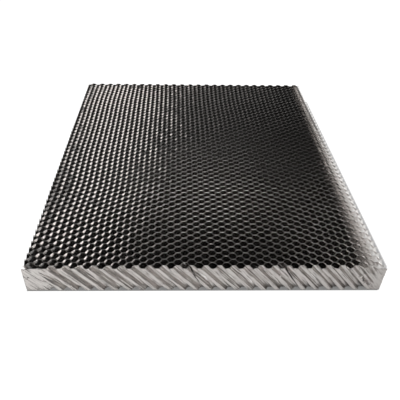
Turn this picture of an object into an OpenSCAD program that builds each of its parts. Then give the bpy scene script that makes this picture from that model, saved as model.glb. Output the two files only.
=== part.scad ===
// Open aluminium honeycomb core slab with leaning cells.
// Corrugated foil ribbons run along X and are stacked along Y. Each ribbon is a trapezoid wave: its flats are
// bonded to the flats of the next ribbon, which is the same wave moved on by half a period, so that the space
// between two ribbons is a row of hexagonal cells. The cell axis leans along X, with the top moved towards -X.

/* [Panel] */
// Width of the panel, along the ribbons
panel_w = 212; // [40:1:400]
// Depth of the panel from front to back, across the ribbons
panel_d = 253.5; // [30:0.5:380]
// Thickness of the panel
panel_t = 18.4; // [4:0.1:60]

/* [Cells] */
// Size of a cell from front to back, between its bonded walls. A whole number of rows of about this size fills
// the depth
cell_size = 6.5; // [4.4:0.05:20]
// Length of a bonded wall, measured along X on the face of the panel
bonded_w = 3.5; // [1:0.05:10]
// Advance along X of a free wall, on the face of the panel
free_run = 1.45; // [0.5:0.05:10]
// Lean of the cell axis from upright, in degrees
cell_lean = 40; // [0:1:60]

/* [Foil] */
// Thickness of the foil
foil_t = 0.1; // [0.05:0.01:0.4]
// Thickness of the adhesive film between two bonded flats
bond_t = 0.02; // [0.01:0.01:0.1]

/* [Tears in the front ribbon] */
// Fold that the through tear follows, in whole periods from the middle of the bottom edge
through_tear_at = 6; // [-20:1:20]
// Fold that the short tear follows, in whole periods from the middle of the bottom edge
short_tear_at = 0; // [-20:1:20]
// Depth of the short tear below the top face
short_tear_depth = 11; // [1:0.5:60]
// Width of a tear, square to its fold
tear_gap = 0.5; // [0.1:0.05:2]

/* [Hidden] */
function two_digits(n) = str(n < 10 ? "0" : "", n);
function pair_name(n) = str("ribbon_pair_", two_digits(n));
// Rows of cells from front to back, with two ribbons to a row
cell_rows = max(1, round(panel_d / cell_size));

row_pitch = panel_d / cell_rows;
ribbon_pitch = row_pitch / 2;
period = 2 * (bonded_w + free_run);
// Height of the wave between the middles of its low and high flats
wave_h = ribbon_pitch - foil_t - bond_t;

// The wave is drawn square to the cell axis, where lengths along X shrink by this share
axis_share = cos(cell_lean);
fold_angle = atan2(wave_h, free_run * axis_share);
// Distance that a mitred corner of the foil lies ahead of or behind its fold
mitre = foil_t / 2 * tan(fold_angle / 2);

// Untrimmed ribbons reach past the ends of the panel on both faces
spare_periods = 2;
half_reach = panel_w / 2 + panel_t * tan(cell_lean) + spare_periods * period;
half_periods = ceil(half_reach / period);
half_length = half_periods * period * sin(cell_lean) + panel_t / axis_share;

// Start of each of a period's four folds along X, and whether the fold is on a high flat
fold_x = [0, bonded_w, bonded_w + free_run, 2 * bonded_w + free_run];
fold_high = [0, 0, 1, 1];
// The side towards +Y has its corner ahead of the fold (1) or behind it (-1)
fold_mitre = [1, -1, -1, 1];

foil_colour = [0.74, 0.72, 0.71];

// Points of one side of the foil, +1 towards +Y and -1 towards -Y
function foil_side(side) = [
    for (n = [-half_periods : half_periods - 1], i = [0 : 3])
        [
            (n * period + fold_x[i]) * axis_share + side * fold_mitre[i] * mitre,
            fold_high[i] * wave_h + side * foil_t / 2
        ]
];

function backwards(points) = [for (i = [len(points) - 1 : -1 : 0]) points[i]];

// Turns what is drawn square to the cell axis, at height 0 on the bottom face, to lean with the cells
module along_cells() {
    rotate([0, -cell_lean, 0])
        children();
}

// The part of space that the sawn panel fills, deep enough for any one ribbon
module sawn_slab() {
    translate([-panel_w / 2, -row_pitch, 0])
        cube([panel_w, 3 * row_pitch, panel_t]);
}

// One corrugated foil ribbon, moved on along X by a shift and sawn flush with the panel's faces and ends
module ribbon(shift) {
    intersection() {
        translate([shift, 0, 0])
            along_cells()
                translate([0, 0, -half_length])
                    linear_extrude(2 * half_length)
                        polygon(concat(foil_side(1), backwards(foil_side(-1))));
        sawn_slab();
    }
}

// Slot along the right fold of a low flat, from a depth below the top face up past that face
module tear(at, depth) {
    fold = (at * period + bonded_w) * axis_share;
    top = (panel_t - fold * sin(cell_lean)) / axis_share;
    length = depth / axis_share;
    along_cells()
        translate([fold - tear_gap / 2, -row_pitch, top - length])
            cube([tear_gap, 3 * row_pitch, length + panel_t]);
}

// The front ribbon is torn in two along one fold and split part of the way down along another
module torn_ribbon() {
    difference() {
        ribbon(0);
        tear(through_tear_at, 2 * panel_t);
        tear(short_tear_at, short_tear_depth);
    }
}

// Ribbon number m from the front, counted from 0: every other ribbon is moved on by half a period
module placed_ribbon(m) {
    translate([0, -panel_d / 2 + m * ribbon_pitch + (foil_t + bond_t) / 2, 0])
        if (m == 0)
            torn_ribbon();
        else
            ribbon(m % 2 * period / 2);
}

// Two neighbouring ribbons, bonded flat on flat, which close a row of cells between them
module ribbon_pair(n) {
    color(foil_colour) {
        placed_ribbon(2 * n - 2);
        placed_ribbon(2 * n - 1);
    }
}

for (n = [1 : cell_rows])
    ribbon_pair(n);
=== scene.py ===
import math

import bmesh
import bpy
import numpy as np
from mathutils import Matrix, Vector


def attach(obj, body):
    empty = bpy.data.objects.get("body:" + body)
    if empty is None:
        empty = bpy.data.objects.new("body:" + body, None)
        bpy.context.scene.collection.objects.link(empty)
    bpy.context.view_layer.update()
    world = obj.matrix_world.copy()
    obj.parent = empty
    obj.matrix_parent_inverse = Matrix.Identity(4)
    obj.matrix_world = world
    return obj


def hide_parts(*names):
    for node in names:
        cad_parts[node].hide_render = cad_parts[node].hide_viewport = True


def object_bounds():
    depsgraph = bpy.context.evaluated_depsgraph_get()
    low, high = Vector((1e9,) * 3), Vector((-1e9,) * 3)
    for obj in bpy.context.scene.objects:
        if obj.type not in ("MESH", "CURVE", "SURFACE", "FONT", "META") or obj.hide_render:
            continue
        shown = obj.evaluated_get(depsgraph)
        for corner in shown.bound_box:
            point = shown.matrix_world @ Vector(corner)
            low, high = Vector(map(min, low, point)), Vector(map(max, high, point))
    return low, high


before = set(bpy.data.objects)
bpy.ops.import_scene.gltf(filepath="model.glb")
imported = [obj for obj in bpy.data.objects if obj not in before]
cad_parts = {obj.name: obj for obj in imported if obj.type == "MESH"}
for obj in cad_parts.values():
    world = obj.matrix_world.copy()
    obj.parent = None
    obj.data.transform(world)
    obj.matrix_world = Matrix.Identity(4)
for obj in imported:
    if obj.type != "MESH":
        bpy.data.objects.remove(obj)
cad_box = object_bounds()

# Lengths are in millimetres up to the point where a mesh, lamp or camera takes them.
MM = 0.001
LEFT, FRONT, BOTTOM = (value / MM for value in cad_box[0])
RIGHT, BACK, TOP = (value / MM for value in cad_box[1])
WIDTH = RIGHT - LEFT
DEPTH = BACK - FRONT
THICK = TOP - BOTTOM

# The honeycomb: ribbons along X stacked along Y, with cells that lean along X
CELL_ROWS = 49
RIBBONS = 2 * CELL_ROWS
LINES = RIBBONS + 1
PERIODS = 26.2
PERIOD = WIDTH / PERIODS
BONDED_SHARE = 0.285
BONDED = BONDED_SHARE * PERIOD
LEAN = math.radians(40)
TOP_SHIFT = THICK * math.tan(LEAN)
SPARE_FLATS = 3
FLATS = math.ceil((WIDTH + TOP_SHIFT) / PERIOD) + SPARE_FLATS
# The pattern is laid out from the middle of one front flat on the bottom face.
PATTERN_X = -45.4
FIRST_X = PATTERN_X - math.ceil((PATTERN_X - LEFT) / PERIOD + 1) * PERIOD

# The foil: its thickness, that of the burr along a sawn edge, how deep the burr reaches, the height of
# the ridge along the top edge, and how far the saw has bent that edge
FOIL = 0.10
BURR = 0.12
BURR_DEPTH = 2.1
BURR_RIDGE = 0.022
RIM_BEND = 0.21
# Half the distance between the middles of two bonded foils
HALF_BOND = 0.07
# Room in front of the first bond line and behind the last for creases, bows and loose burrs
FRONT_ROOM = 0.55
BACK_ROOM = 0.35
# Where the columns of a ribbon inside the slab lie, as shares of each wall
INNER_SHARES = np.array([0.08, 0.92])
# How close to the saw's plane a point counts as cut
SAW_SNAP = 0.00001

# How far the hand-pulled cells stray from a perfect pattern, and how many slow sways cross the slab
SWAY = 0.45
SWAYS_BACK = 6
SWAYS_ACROSS = 5
FLAT_STRAY_X = 0.06
FLAT_STRAY_Y = 0.05
FLAT_TURN = 0.012
FLAT_LENGTH_STRAY = 0.03
TOP_STRAY = 0.03
BURR_STRAY = 0.01

# The outer ribbons, whose faces show: columns to a wall, rows, and the depth of creases and dents
OUTER_SHARES = np.array([0.06, 0.16, 0.28, 0.4, 0.5, 0.6, 0.72, 0.84, 0.94])
OUTER_ROWS = 29
CREASES_PER_WALL = 4.2
CREASE_ROWS = 2
CREASE_DEPTH = 0.12
DENT_ROWS = 4
DENT_DEPTH = 0.06

# Tears in the front ribbon: X of the foot and head of each on the pattern of the bottom face, the height
# share where it ends, the width of its gap, and how far the foil beside it bows out. Where that is and how
# wide, the strip left out and the reach of the spread are counted in walls.
TEAR_STRIP = 0.05
TEAR_REACH = 2.2
TEARS = (
    {"foot": -0.26, "head": 6.3, "end": 0.3, "gap_foot": 0.2, "gap_head": 1.0,
     "bow": 0.35, "bow_at": 0.8, "bow_width": 0.9},
    {"foot": 58.1, "head": 61.65, "end": 0.0, "gap_foot": 0.55, "gap_head": 1.1,
     "bow": 0.4, "bow_at": 0.9, "bow_width": 1.0},
)
# Holes in the front ribbon
HOLES = (
    {"x": 94.7, "z": 7.9, "radius": 0.8},
    {"x": 34.9, "z": 14.4, "radius": 0.55},
)

# Both ends of the front ribbon are pressed flat: where that starts and where it is full
PRESSED = ((-88.0, -99.0), (97.0, 103.0))
# Burrs torn loose on the front face: place of the root, size, how far the tip leans along X and curls out
FLAP_ROWS = 7
FLAP_COLUMNS = 5
FLAP_TAPER = 0.8
FLAPS = (
    {"x": -104.2, "z": 16.6, "width": 2.2, "height": 1.5, "lean": 1.8, "curl": 0.3},
    {"x": -104.6, "z": 8.6, "width": 1.3, "height": 1.5, "lean": 1.0, "curl": 0.35},
    {"x": -102.6, "z": 10.3, "width": 1.0, "height": 1.0, "lean": -1.1, "curl": 0.3},
    {"x": -80.2, "z": 3.0, "width": 0.9, "height": 2.6, "lean": -0.7, "curl": 0.4},
    {"x": -79.6, "z": 3.4, "width": 0.7, "height": 1.6, "lean": 1.0, "curl": 0.4},
    {"x": 5.6, "z": 13.6, "width": 1.0, "height": 1.6, "lean": 0.9, "curl": 0.35},
    {"x": 44.6, "z": 10.6, "width": 1.0, "height": 1.9, "lean": -0.6, "curl": 0.35},
    {"x": 91.8, "z": 10.6, "width": 1.8, "height": 2.2, "lean": 0.9, "curl": 0.5},
    {"x": 95.6, "z": 5.6, "width": 1.2, "height": 1.4, "lean": 0.8, "curl": 0.4},
)

# The room's light on the object, where 1 is white
ROOM_LIGHT = 0.2
# How far the camera sees the open floor, and the floor under the slab, lifted towards white; the lower
# lift under the slab is painted shadow
FLOOR_LIFT = 0.97
UNDER_LIFT = 0.16
# The same for what the foil mirrors, as painted reflection: beside the slab at its front and from its
# middle back, in front of it at the left and right, and under it at its front edge and farther in than the
# width of the front glow.
# The low lifts under the slab are painted shade.
SIDE_MIRROR_LIFT = 0.62
FAR_SIDE_MIRROR_LIFT = 1.0
LEFT_MIRROR_LIFT = 0.95
RIGHT_MIRROR_LIFT = 0.6
FRONT_MIRROR_LIFT = 0.35
INNER_MIRROR_LIFT = 0.05
FRONT_GLOW = 3.0
# A wedge of painted shade on the floor beside the right end: its width, how it narrows to the front, and
# the width of its soft edge
SHADE_WIDTH = 12.5
SHADE_SLOPE = 0.65
SHADE_EDGE = 1.5

SEED = 41
random = np.random.default_rng(SEED)

FOIL_FACE = 0
SAWN_FACE = 1
# The outer faces take a darker copy of the foil, as painted shade.
SHADED_OUTER_FACE = 2


def linear_colour(code):
    """An sRGB hex value as a linear colour: each channel up to 0.04045 is divided by 12.92, and any other
    is raised to the power 2.4 after 0.055 is added and the sum divided by 1.055."""
    channels = np.array([int(code[i:i + 2], 16) for i in (1, 3, 5)]) / 255
    bent = np.where(channels <= 0.04045, channels / 12.92, ((channels + 0.055) / 1.055) ** 2.4)
    return (*bent.tolist(), 1.0)


def s_curve(share):
    """A share from 0 to 1 eased at both ends: its square, times three less twice the share."""
    return share * share * (3 - 2 * share)


def smooth_noise(lattice, across, along):
    """Random values at whole numbers, blended between them by an S-curve in both directions."""
    just_inside = 1.001
    across = np.clip(across, 0, lattice.shape[0] - just_inside)
    along = np.clip(along, 0, lattice.shape[1] - just_inside)
    i = across.astype(int)
    j = along.astype(int)
    s = s_curve(across - i)
    t = s_curve(along - j)
    low = lattice[i, j] * (1 - t) + lattice[i, j + 1] * t
    high = lattice[i + 1, j] * (1 - t) + lattice[i + 1, j + 1] * t
    return low * (1 - s) + high * s


def bonded_flats():
    """Both ends, in plan, of every bonded flat on every bond line, at the bottom and the top face. Line j
    lies j ribbon pitches behind the front. Its flats are a period apart, and those of odd lines are moved
    on by half a period. A slow sway and small random strays move and turn each flat, and those along Y
    fade out at the front and back lines."""
    line = np.arange(LINES)[:, None]
    flat = np.arange(FLATS)[None, :]
    pitch = (DEPTH - FRONT_ROOM - BACK_ROOM) / RIBBONS
    x = FIRST_X + (flat + 0.5 * (line % 2)) * PERIOD
    y = FRONT + FRONT_ROOM + line * pitch + 0.0 * flat
    sway_lattice = random.standard_normal((2, SWAYS_BACK + 2, SWAYS_ACROSS + 2))
    place = (line / LINES * SWAYS_BACK + 0.0 * flat, flat / FLATS * SWAYS_ACROSS + 0.0 * line)
    fade = np.sqrt(np.sin(np.pi * line / (LINES - 1)).clip(0))
    x = x + SWAY * smooth_noise(sway_lattice[0], *place) + FLAT_STRAY_X * random.standard_normal(x.shape)
    y = y + fade * SWAY * smooth_noise(sway_lattice[1], *place)
    y = y + fade * FLAT_STRAY_Y * random.standard_normal(y.shape)
    half = BONDED / 2 * (1 + FLAT_LENGTH_STRAY * random.standard_normal(x.shape))
    turn = fade * FLAT_TURN * random.standard_normal(x.shape)
    side = np.array([-1.0, 1.0])
    ends_x = x[..., None] + side * half[..., None]
    ends_y = y[..., None] + side * (half * turn)[..., None]
    bottom = np.stack([ends_x, ends_y], axis=-1)
    drift = TOP_STRAY * random.standard_normal((LINES, FLATS, 1, 2))
    drift[..., 1] = drift[..., 1] * fade[..., None]
    return bottom, bottom + drift


def ribbon_folds(flats, number):
    """The fold points of one ribbon in plan, in order along X: its flats on the bond line in front of it
    take turns with those on the line behind it, and each is set off from its line by half a bond."""
    offset = {number: HALF_BOND, number + 1: -HALF_BOND}
    even = number + number % 2
    odd = number + 1 - number % 2
    rows = [flats[line] + np.array([0.0, offset[line]]) for line in (even, odd)]
    return np.stack(rows, axis=1).reshape(-1, 2)


def wall_columns(folds, shares):
    """Points of a ribbon in plan: at given shares of each wall between one fold and the next."""
    step = folds[1:] - folds[:-1]
    points = folds[:-1, None] + step[:, None] * shares[None, :, None]
    return points.reshape(-1, 2)


def leaning_grid(plan, height):
    """A surface point for each row of heights (0 at the bottom face, 1 at the top) and each plan column.
    The top is moved towards -X by the lean, and the saw has bent its edge a little way back."""
    x = plan[..., 0] - TOP_SHIFT * height + np.where(height == 1, RIM_BEND, 0.0)
    z = BOTTOM + THICK * height + 0.0 * x
    return np.stack([x, plan[..., 1], z], axis=-1)


def plan_normal(grid):
    """Level normals of a standing sheet: the run of each row, turned a quarter turn towards +Y."""
    run = np.gradient(grid, axis=1)
    normal = np.stack([-run[..., 1], run[..., 0], 0.0 * run[..., 0]], axis=-1)
    return normal / np.linalg.norm(normal, axis=-1, keepdims=True)


def closed_sheet(grid, thickness, kept=None):
    """A shell round a middle surface: every point is set off by half the thickness to either side, and
    the two sides are joined along every edge of the kept grid squares, so that a square that isn't kept
    is a hole. The top edge has a low ridge along its middle, whose gables are left open. Gives points,
    four-sided faces and the kind of each face."""
    rows, columns = grid.shape[:2]
    if kept is None:
        kept = np.ones((rows - 1, columns - 1), bool)
    normal = plan_normal(grid)
    half = np.broadcast_to(thickness, grid.shape[:2])[..., None] / 2
    crest = grid[-1].copy()
    grid = grid.copy()
    grid[-1, :, 2] -= BURR_RIDGE
    points = np.concatenate([
        (grid - normal * half).reshape(-1, 3), (grid + normal * half).reshape(-1, 3), crest])
    near = np.arange(rows * columns).reshape(rows, columns)
    far = near + rows * columns
    ridge = 2 * rows * columns + np.arange(columns)

    def quads(chosen, *corners):
        return np.stack([corner[chosen] for corner in corners], axis=1)

    sides = [
        quads(kept, near[:-1, :-1], near[:-1, 1:], near[1:, 1:], near[1:, :-1]),
        quads(kept, far[:-1, :-1], far[1:, :-1], far[1:, 1:], far[:-1, 1:]),
    ]
    framed = np.pad(kept, 1)
    ends = framed[1:-1, 1:] & ~framed[1:-1, :-1]
    starts = framed[1:-1, :-1] & ~framed[1:-1, 1:]
    floors = framed[1:, 1:-1] & ~framed[:-1, 1:-1]
    roofs = (framed[:-1, 1:-1] & ~framed[1:, 1:-1])[:-1]
    top = kept[-1]
    edges = [
        quads(ends, near[:-1], near[1:], far[1:], far[:-1]),
        quads(starts, near[:-1], far[:-1], far[1:], near[1:]),
        quads(floors, near[:, :-1], far[:, :-1], far[:, 1:], near[:, 1:]),
        quads(roofs, near[:-1, :-1], near[:-1, 1:], far[:-1, 1:], far[:-1, :-1]),
        quads(top, near[-1, :-1], near[-1, 1:], ridge[1:], ridge[:-1]),
        quads(top, ridge[:-1], ridge[1:], far[-1, 1:], far[-1, :-1]),
    ]
    faces = np.concatenate(sides + edges)
    kind = np.full(len(faces), SAWN_FACE)
    kind[:sum(len(side) for side in sides)] = FOIL_FACE
    return points, faces, kind


def joined(shells):
    """Several shells as one set of points, faces and kinds."""
    starts = np.cumsum([0] + [len(shell[0]) for shell in shells[:-1]])
    points = np.concatenate([shell[0] for shell in shells])
    faces = np.concatenate([shell[1] + start for shell, start in zip(shells, starts)])
    kind = np.concatenate([shell[2] for shell in shells])
    return points, faces, kind


def plain_ribbon(flats_bottom, flats_top, number):
    """One ribbon inside the slab: two columns to a wall, close to its folds, so that each fold is a
    narrow bend, and rows at the faces and where the burr ends."""
    inside = BURR_DEPTH / THICK
    height = np.array([0.0, inside, 1 - inside, 1.0])[:, None]
    bottom = wall_columns(ribbon_folds(flats_bottom, number), INNER_SHARES)[None]
    top = wall_columns(ribbon_folds(flats_top, number), INNER_SHARES)[None]
    plan = bottom + (top - bottom) * height[..., None]
    grid = leaning_grid(plan, height)
    stray = BURR_STRAY * random.standard_normal(grid.shape[:2])
    stray[1:-1] = 0
    grid = grid + plan_normal(grid) * stray[..., None]
    thickness = np.where((height == 0) | (height == 1), BURR, FOIL)
    return closed_sheet(grid, thickness)


def fold_number(folds, pattern_x):
    """How many walls lie before a place along the ribbon, where X is given on the bottom face."""
    return np.interp(pattern_x, folds[:, 0], np.arange(len(folds)))


def loose_flap(flap, face):
    """A burr of foil torn loose from a face: a small sheet that rises from its root, narrows to the tip
    and curls out towards the front by the square of its height."""
    share = np.linspace(0, 1, FLAP_ROWS)[:, None]
    side = np.linspace(-0.5, 0.5, FLAP_COLUMNS)[None]
    x = flap["x"] + side * flap["width"] * (1 - FLAP_TAPER * share) + flap["lean"] * share
    z = flap["z"] + flap["height"] * share + 0.0 * side
    root = np.argmin(np.hypot(face[..., 0] - flap["x"], face[..., 2] - flap["z"]))
    y = face[..., 1].ravel()[root] - FOIL - flap["curl"] * share ** 2 + 0.0 * side
    grid = np.stack([x, np.maximum(y, FRONT + FOIL), z], axis=-1)
    points, faces, kind = closed_sheet(grid, FOIL)
    return points, faces, np.full_like(kind, SAWN_FACE)


def outer_ribbon(flats_bottom, flats_top, number, tears=(), holes=(), pressed=(), flaps=()):
    """A ribbon that shows its whole face: many columns to a wall, with creases along the folds and dents,
    both smooth noise set off along the face's normal. A tear is a strip of columns that is drawn along
    the line of the tear, spread apart, and left out above its end; the foil beside it bows out by a bell
    curve. A hole leaves out the grid squares within its radius. A pressed end has its wave drawn flat by
    an S-curve, level with the front flats. Flaps are burrs torn loose from the face."""
    folds = ribbon_folds(flats_bottom, number)
    drift = ribbon_folds(flats_top, number) - folds
    walls = len(folds) - 1
    column = (np.arange(walls)[:, None] + OUTER_SHARES[None]).ravel()
    for tear in tears:
        middle = fold_number(folds, (tear["foot"] + tear["head"]) / 2)
        column = column[abs(column - middle) > 2 * TEAR_STRIP]
        column = np.sort(np.append(column, [middle - TEAR_STRIP, middle + TEAR_STRIP]))
    inside = BURR_DEPTH / THICK
    height = np.concatenate([[0, inside], np.linspace(0, 1, OUTER_ROWS)[1:-1], [1 - inside, 1]])[:, None]
    place = column[None] + 0.0 * height
    kept = np.ones((len(height) - 1, len(column) - 1), bool)
    spread = 0.0 * place
    bow = 0.0 * place
    for tear in tears:
        middle = fold_number(folds, (tear["foot"] + tear["head"]) / 2)
        line = fold_number(folds, tear["foot"] + (tear["head"] - tear["foot"]) * height)
        away = column[None] - middle
        near = np.clip(1 - abs(away) / TEAR_REACH, 0, 1)
        place = place + near * (line - middle)
        opening = np.clip((height - tear["end"]) / (1 - tear["end"]), 0, 1)
        gap = (tear["gap_foot"] + (tear["gap_head"] - tear["gap_foot"]) * height) * np.sqrt(opening)
        spread = spread + np.sign(away) * gap / 2 * near ** 2
        bow = bow - tear["bow"] * opening * np.exp(-((away - tear["bow_at"]) / tear["bow_width"]) ** 2)
        strip = (column[:-1] < middle) & (column[1:] > middle)
        kept = kept & ~(strip[None] & (height[:-1] >= tear["end"]))
    wall = np.clip(place.astype(int), 0, walls - 1)
    share = (place - wall)[..., None]
    ends = [folds[wall + step] + drift[wall + step] * height[..., None] for step in (0, 1)]
    plan = ends[0] * (1 - share) + ends[1] * share
    grid = leaning_grid(plan, height)
    for start, full in pressed:
        flat = s_curve(np.clip((grid[..., 0] - start) / (full - start), 0, 1))
        grid[..., 1] += flat * (FRONT + FRONT_ROOM + HALF_BOND - grid[..., 1])
    creases = random.standard_normal((int(walls * CREASES_PER_WALL) + 2, CREASE_ROWS + 2))
    dents = random.standard_normal((walls + 2, DENT_ROWS + 2))
    level = height + 0.0 * place
    crease = CREASE_DEPTH * smooth_noise(creases, place * CREASES_PER_WALL, level * CREASE_ROWS)
    dent = DENT_DEPTH * smooth_noise(dents, place, level * DENT_ROWS)
    grid = grid + plan_normal(grid) * (crease + dent)[..., None]
    grid[..., 0] += spread
    grid[..., 1] += bow
    for hole in holes:
        middle = (grid[:-1, :-1] + grid[1:, 1:]) / 2
        reach = np.hypot(middle[..., 0] - hole["x"], middle[..., 2] - hole["z"])
        kept = kept & (reach > hole["radius"])
    rim = FOIL + BURR_STRAY
    grid[..., 1] = np.clip(grid[..., 1], FRONT + rim, BACK - rim)
    thickness = np.where((height == 0) | (height == 1), BURR, FOIL)
    points, faces, kind = closed_sheet(grid, thickness, kept)
    ribbon = (points, faces, np.where(kind == FOIL_FACE, SHADED_OUTER_FACE, kind))
    return joined([ribbon] + [loose_flap(flap, grid) for flap in flaps])


def sawn_object(name, shell, materials):
    """A mesh object from a shell. The gables of its ridges are filled, and it is sawn off flush with the
    slab's two ends and closed there."""
    points, faces, kind = shell
    mesh = bpy.data.meshes.new(name)
    mesh.from_pydata((points * MM).tolist(), [], faces.tolist())
    mesh.polygons.foreach_set("material_index", kind.astype(np.int32))
    work = bmesh.new()
    work.from_mesh(mesh)
    open_edges = [edge for edge in work.edges if edge.is_boundary]
    gables = bmesh.ops.holes_fill(work, edges=open_edges, sides=3)["faces"]
    for face in gables:
        face.material_index = SAWN_FACE
    for end, outward in ((LEFT, -1), (RIGHT, 1)):
        cut = bmesh.ops.bisect_plane(
            work,
            geom=work.verts[:] + work.edges[:] + work.faces[:],
            dist=SAW_SNAP * MM,
            plane_co=(end * MM, 0, 0),
            plane_no=(outward, 0, 0),
            clear_outer=True,
        )
        rim = [item for item in cut["geom_cut"] if isinstance(item, bmesh.types.BMEdge)]
        caps = bmesh.ops.holes_fill(work, edges=rim, sides=0)["faces"]
        for face in caps:
            face.material_index = SAWN_FACE
    loose = [vert for vert in work.verts if not vert.link_faces]
    bmesh.ops.delete(work, geom=loose, context="VERTS")
    work.to_mesh(mesh)
    work.free()
    for material in materials:
        mesh.materials.append(material)
    piece = bpy.data.objects.new(name, mesh)
    bpy.context.scene.collection.objects.link(piece)
    return piece


def add_node(tree, kind, settings=None, inputs=None):
    """Adds a node, sets its properties, and gives each named input a value or a link from another
    output."""
    made = tree.nodes.new(kind)
    for key, value in (settings or {}).items():
        setattr(made, key, value)
    for key, value in (inputs or {}).items():
        if isinstance(value, bpy.types.NodeSocket):
            tree.links.new(value, made.inputs[key])
        else:
            made.inputs[key].default_value = value
    return made


def empty_material(name):
    """A material with no nodes."""
    made = bpy.data.materials.new(name)
    made.use_nodes = True
    made.node_tree.nodes.clear()
    return made


def rolled_foil(name, warm, cool, crease_shade, roughness, crease_width, crease_strength):
    """Bright rolled aluminium foil: a gloss whose breadth is given, a faint warm and cool stain that
    changes from cell to cell, and fine creases along the cells, which show as bumped, rougher streaks,
    some of them darkened in colour as painted shade. A thin film of primer on the metal scatters a little
    light, so the cells aren't quite black."""
    made = empty_material(name)
    tree = made.node_tree
    place = add_node(tree, "ShaderNodeTexCoord")
    stain_size = 9 * MM
    stain = add_node(tree, "ShaderNodeTexNoise", {}, {
        "Vector": place.outputs["Object"], "Scale": 1 / stain_size, "Detail": 2.0, "Roughness": 0.5})
    tint = add_node(tree, "ShaderNodeMix", {"data_type": "RGBA"}, {
        "Factor": stain.outputs["Fac"], "A": linear_colour(warm), "B": linear_colour(cool)})
    crease_length = 9 * MM
    crease_depth = 0.12 * MM
    along_cells = add_node(tree, "ShaderNodeMapping", {"vector_type": "TEXTURE"}, {
        "Vector": place.outputs["Object"], "Rotation": (0, -LEAN, 0),
        "Scale": (crease_width * MM, crease_width * MM, crease_length)})
    crease = add_node(tree, "ShaderNodeTexNoise", {}, {
        "Vector": along_cells.outputs["Vector"], "Scale": 1.0, "Detail": 2.0, "Roughness": 0.5})
    # Painted shade: the base colour is darkened along some creases.
    crease_shade_share = add_node(tree, "ShaderNodeMapRange", {}, {
        "Value": crease.outputs["Fac"], "From Min": 0.55, "From Max": 0.68})
    streaked = add_node(tree, "ShaderNodeMix", {"data_type": "RGBA"}, {
        "Factor": crease_shade_share.outputs["Result"], "A": tint.outputs["Result"], "B": linear_colour(crease_shade)})
    rough = add_node(tree, "ShaderNodeMapRange", {}, {
        "Value": crease.outputs["Fac"], "From Min": 0.3, "From Max": 0.7,
        "To Min": roughness[0], "To Max": roughness[1]})
    bump = add_node(tree, "ShaderNodeBump", {}, {
        "Height": crease.outputs["Fac"], "Strength": crease_strength, "Distance": crease_depth})
    shader = add_node(tree, "ShaderNodeBsdfPrincipled", {}, {
        "Base Color": streaked.outputs["Result"], "Metallic": 0.98, "Roughness": rough.outputs["Result"],
        "Normal": bump.outputs["Normal"]})
    add_node(tree, "ShaderNodeOutputMaterial", {}, {"Surface": shader.outputs["BSDF"]})
    return made


def sawn_foil():
    """The same foil where the saw cut it: torn and burred, so it is matt and pale."""
    made = empty_material("aluminium_foil_sawn_edge")
    tree = made.node_tree
    place = add_node(tree, "ShaderNodeTexCoord")
    burr_size = 0.8 * MM
    burr = add_node(tree, "ShaderNodeTexNoise", {}, {
        "Vector": place.outputs["Object"], "Scale": 1 / burr_size, "Detail": 2.0})
    tint = add_node(tree, "ShaderNodeMix", {"data_type": "RGBA"}, {
        "Factor": burr.outputs["Fac"], "A": linear_colour("#B9B4B0"), "B": linear_colour("#E4E0DC")})
    shader = add_node(tree, "ShaderNodeBsdfPrincipled", {}, {
        "Base Color": tint.outputs["Result"], "Metallic": 1.0, "Roughness": 0.3})
    add_node(tree, "ShaderNodeOutputMaterial", {}, {"Surface": shader.outputs["BSDF"]})
    return made


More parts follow.
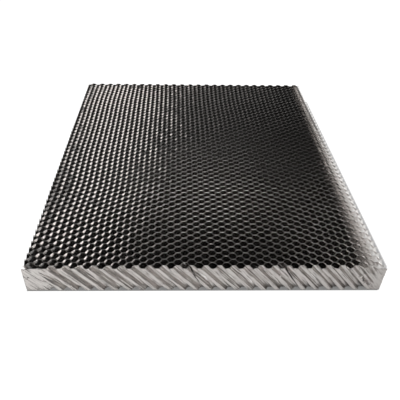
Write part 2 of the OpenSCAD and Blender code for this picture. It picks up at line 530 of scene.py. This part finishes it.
def white_paper():
    """Matt white paper: it is lit by the lamps and keeps the slab's shadow. What the camera sees of it is
    lifted to plain white, apart from the floor under the slab and a wedge beside its right end, which are
    lifted less as painted shade. What the foil mirrors of it is lifted too, by amounts that change from
    place to place: a painted reflection, lifted least under the slab as painted shade."""
    made = empty_material("paper_matt_white")
    tree = made.node_tree
    place = add_node(tree, "ShaderNodeTexCoord")
    apart = add_node(tree, "ShaderNodeSeparateXYZ", {}, {"Vector": place.outputs["Object"]})
    across = add_node(tree, "ShaderNodeMath", {"operation": "ABSOLUTE"}, {0: apart.outputs["X"]})
    deep = add_node(tree, "ShaderNodeMath", {"operation": "ABSOLUTE"}, {0: apart.outputs["Y"]})
    past_end = add_node(tree, "ShaderNodeMath", {"operation": "GREATER_THAN"}, {
        0: across.outputs["Value"], 1: WIDTH / 2 * MM})
    past_front = add_node(tree, "ShaderNodeMath", {"operation": "GREATER_THAN"}, {
        0: deep.outputs["Value"], 1: DEPTH / 2 * MM})
    outside = add_node(tree, "ShaderNodeMath", {"operation": "MAXIMUM"}, {
        0: past_end.outputs["Value"], 1: past_front.outputs["Value"]})
    from_end = add_node(tree, "ShaderNodeMath", {"operation": "SUBTRACT"}, {
        0: apart.outputs["X"], 1: (RIGHT + SHADE_WIDTH) * MM})
    from_corner = add_node(tree, "ShaderNodeMath", {"operation": "MULTIPLY_ADD"}, {
        0: apart.outputs["Y"], 1: -SHADE_SLOPE, 2: (SHADE_SLOPE * FRONT + SHADE_WIDTH) * MM})
    nearer = add_node(tree, "ShaderNodeMath", {"operation": "MAXIMUM"}, {
        0: from_corner.outputs["Value"], 1: 0.0})
    clear = add_node(tree, "ShaderNodeMath", {"operation": "ADD"}, {
        0: from_end.outputs["Value"], 1: nearer.outputs["Value"]})
    past_shade = add_node(tree, "ShaderNodeMapRange", {}, {
        "Value": clear.outputs["Value"], "From Min": -SHADE_EDGE * MM, "From Max": 0.0})
    past_left = add_node(tree, "ShaderNodeMath", {"operation": "LESS_THAN"}, {
        0: apart.outputs["X"], 1: LEFT * MM})
    beside = add_node(tree, "ShaderNodeMath", {"operation": "MAXIMUM"}, {
        0: past_shade.outputs["Result"], 1: past_left.outputs["Value"]})
    open_floor = add_node(tree, "ShaderNodeMath", {"operation": "MAXIMUM"}, {
        0: beside.outputs["Value"], 1: past_front.outputs["Value"]})
    shader = add_node(tree, "ShaderNodeBsdfPrincipled", {}, {
        "Base Color": linear_colour("#BDBDBD"), "Roughness": 0.9, "Specular IOR Level": 0.0})
    ray = add_node(tree, "ShaderNodeLightPath")
    # Painted shadow: the camera sees the floor under the slab and in the wedge beside the right end lifted
    # less, so darker.
    seen = add_node(tree, "ShaderNodeMapRange", {}, {
        "Value": open_floor.outputs["Value"], "To Min": UNDER_LIFT, "To Max": FLOOR_LIFT})
    # Painted reflection: what the foil mirrors of the floor is lifted by amounts that change from place to
    # place, and kept low under the slab as painted shade.
    near_front = add_node(tree, "ShaderNodeMapRange", {}, {
        "Value": apart.outputs["Y"], "From Min": FRONT * MM, "From Max": (FRONT + FRONT_GLOW) * MM,
        "To Min": FRONT_MIRROR_LIFT, "To Max": INNER_MIRROR_LIFT})
    in_front = add_node(tree, "ShaderNodeMapRange", {}, {
        "Value": apart.outputs["X"], "From Min": LEFT * MM, "From Max": RIGHT * MM,
        "To Min": LEFT_MIRROR_LIFT, "To Max": RIGHT_MIRROR_LIFT})
    at_side = add_node(tree, "ShaderNodeMapRange", {}, {
        "Value": apart.outputs["Y"], "From Min": FRONT * MM, "From Max": 0.0,
        "To Min": SIDE_MIRROR_LIFT, "To Max": FAR_SIDE_MIRROR_LIFT})
    around = add_node(tree, "ShaderNodeMix", {"data_type": "FLOAT"}, {
        "Factor": past_front.outputs["Value"],
        "A": at_side.outputs["Result"], "B": in_front.outputs["Result"]})
    mirrored = add_node(tree, "ShaderNodeMix", {"data_type": "FLOAT"}, {
        "Factor": outside.outputs["Value"],
        "A": near_front.outputs["Result"], "B": around.outputs["Result"]})
    camera_share = add_node(tree, "ShaderNodeMath", {"operation": "MULTIPLY"}, {
        0: ray.outputs["Is Camera Ray"], 1: seen.outputs["Result"]})
    mirror_share = add_node(tree, "ShaderNodeMath", {"operation": "MULTIPLY"}, {
        0: ray.outputs["Is Glossy Ray"], 1: mirrored.outputs["Result"]})
    lift = add_node(tree, "ShaderNodeMath", {"operation": "ADD"}, {
        0: camera_share.outputs["Value"], 1: mirror_share.outputs["Value"]})
    glow = add_node(tree, "ShaderNodeEmission", {}, {
        "Color": (1, 1, 1, 1), "Strength": lift.outputs["Value"]})
    both = add_node(tree, "ShaderNodeAddShader", {}, {
        0: shader.outputs["BSDF"], 1: glow.outputs["Emission"]})
    add_node(tree, "ShaderNodeOutputMaterial", {}, {"Surface": both.outputs["Shader"]})
    return made


def studio_world():
    """A plain room: white where the camera looks into it, and a dimmer even light on everything else."""
    world = bpy.data.worlds.new("studio_room")
    world.use_nodes = True
    tree = world.node_tree
    tree.nodes.clear()
    ray = add_node(tree, "ShaderNodeLightPath")
    strength = add_node(tree, "ShaderNodeMapRange", {}, {
        "Value": ray.outputs["Is Camera Ray"], "To Min": ROOM_LIGHT, "To Max": 1.0})
    shader = add_node(tree, "ShaderNodeBackground", {}, {
        "Color": (1, 1, 1, 1), "Strength": strength.outputs["Result"]})
    add_node(tree, "ShaderNodeOutputWorld", {}, {"Surface": shader.outputs["Background"]})
    bpy.context.scene.world = world


def soft_lamp(name, place, aim, roll, size, power, colour):
    """An oblong lamp at a place, turned to look at the aim, with its long side rolled from level by
    degrees."""
    lamp = bpy.data.lights.new(name, "AREA")
    lamp.shape = "RECTANGLE"
    lamp.size = size[0] * MM
    lamp.size_y = size[1] * MM
    lamp.energy = power
    lamp.color = linear_colour(colour)[:3]
    holder = bpy.data.objects.new(name, lamp)
    away = Vector(place) - Vector(aim)
    turn = away.to_track_quat("Z", "Y").to_matrix().to_4x4() @ Matrix.Rotation(math.radians(roll), 4, "Z")
    holder.matrix_world = Matrix.Translation(Vector(place) * MM) @ turn
    bpy.context.scene.collection.objects.link(holder)


# In the order of the kinds of face. Crease widths are in millimetres.
foil = [
    rolled_foil(
        "aluminium_foil_rolled", warm="#E4DFDE", cool="#DCDCD9", crease_shade="#CFCBC9",
        roughness=(0.09, 0.18), crease_width=0.7, crease_strength=0.15),
    sawn_foil(),
    # The outer faces: a darker copy of the foil whose tone and dark streaks are painted shade, with deeper
    # creases.
    rolled_foil(
        "aluminium_foil_creased_outer_painted_shade", warm="#C8C0BE", cool="#C1C0BB", crease_shade="#7E7A78",
        roughness=(0.1, 0.22), crease_width=0.45, crease_strength=1.0),
]
flats_bottom, flats_top = bonded_flats()
# Each ribbon goes to the piece whose CAD node lies at the same share of the depth.
node_names = sorted(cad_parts)
nodes = len(node_names)
node_of_ribbon = ((np.arange(RIBBONS) + 0.5) / RIBBONS * nodes).astype(int)
for index, node_name in enumerate(node_names):
    numbers = np.flatnonzero(node_of_ribbon == index)
    shells = [plain_ribbon(flats_bottom, flats_top, int(n)) for n in numbers if 0 < n < RIBBONS - 1]
    if index == 0:
        shells.append(outer_ribbon(flats_bottom, flats_top, 0, TEARS, HOLES, PRESSED, FLAPS))
    if index == nodes - 1:
        shells.append(outer_ribbon(flats_bottom, flats_top, RIBBONS - 1))
    piece = sawn_object("foil_ribbons_%02d" % (index + 1), joined(shells), foil)
    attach(piece, "root")
    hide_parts(node_name)

floor_mesh = bpy.data.meshes.new("floor")
floor_half = 4000 * MM
floor_drop = 0.02 * MM
floor_corners = ((-1, -1), (1, -1), (1, 1), (-1, 1))
floor_points = [(x * floor_half, y * floor_half, BOTTOM * MM - floor_drop) for x, y in floor_corners]
floor_mesh.from_pydata(floor_points, [], [(0, 1, 2, 3)])
floor_mesh.materials.append(white_paper())
floor = bpy.data.objects.new("floor", floor_mesh)
bpy.context.scene.collection.objects.link(floor)

studio_world()
soft_lamp(
    "key_lamp", place=(785, 60, 276), aim=(-60, 0, 18), roll=15, size=(660, 170),
    power=0.43, colour="#FFF8F4")
soft_lamp(
    "back_lamp", place=(40, 5, 374), aim=(40, -60, 18), roll=0, size=(110, 90),
    power=0.42, colour="#FFFFFF")

camera_data = bpy.data.cameras.new("camera")
camera_data.sensor_width = 36.0
camera_data.lens = 41.0
camera_data.shift_x = 0.0275
camera_data.clip_start = 10 * MM
camera = bpy.data.objects.new("camera", camera_data)
camera_place = Vector((-16.3, -307.4, 212.3)) * MM
camera_pan = Matrix.Rotation(math.radians(-1.8), 4, "Z")
camera_tilt = Matrix.Rotation(math.radians(51.67), 4, "X")
camera_roll = Matrix.Rotation(math.radians(1.25), 4, "Z")
camera.matrix_world = Matrix.Translation(camera_place) @ camera_pan @ camera_tilt @ camera_roll
bpy.context.scene.collection.objects.link(camera)
bpy.context.scene.camera = camera
bpy.context.scene.view_settings.view_transform = "Standard"
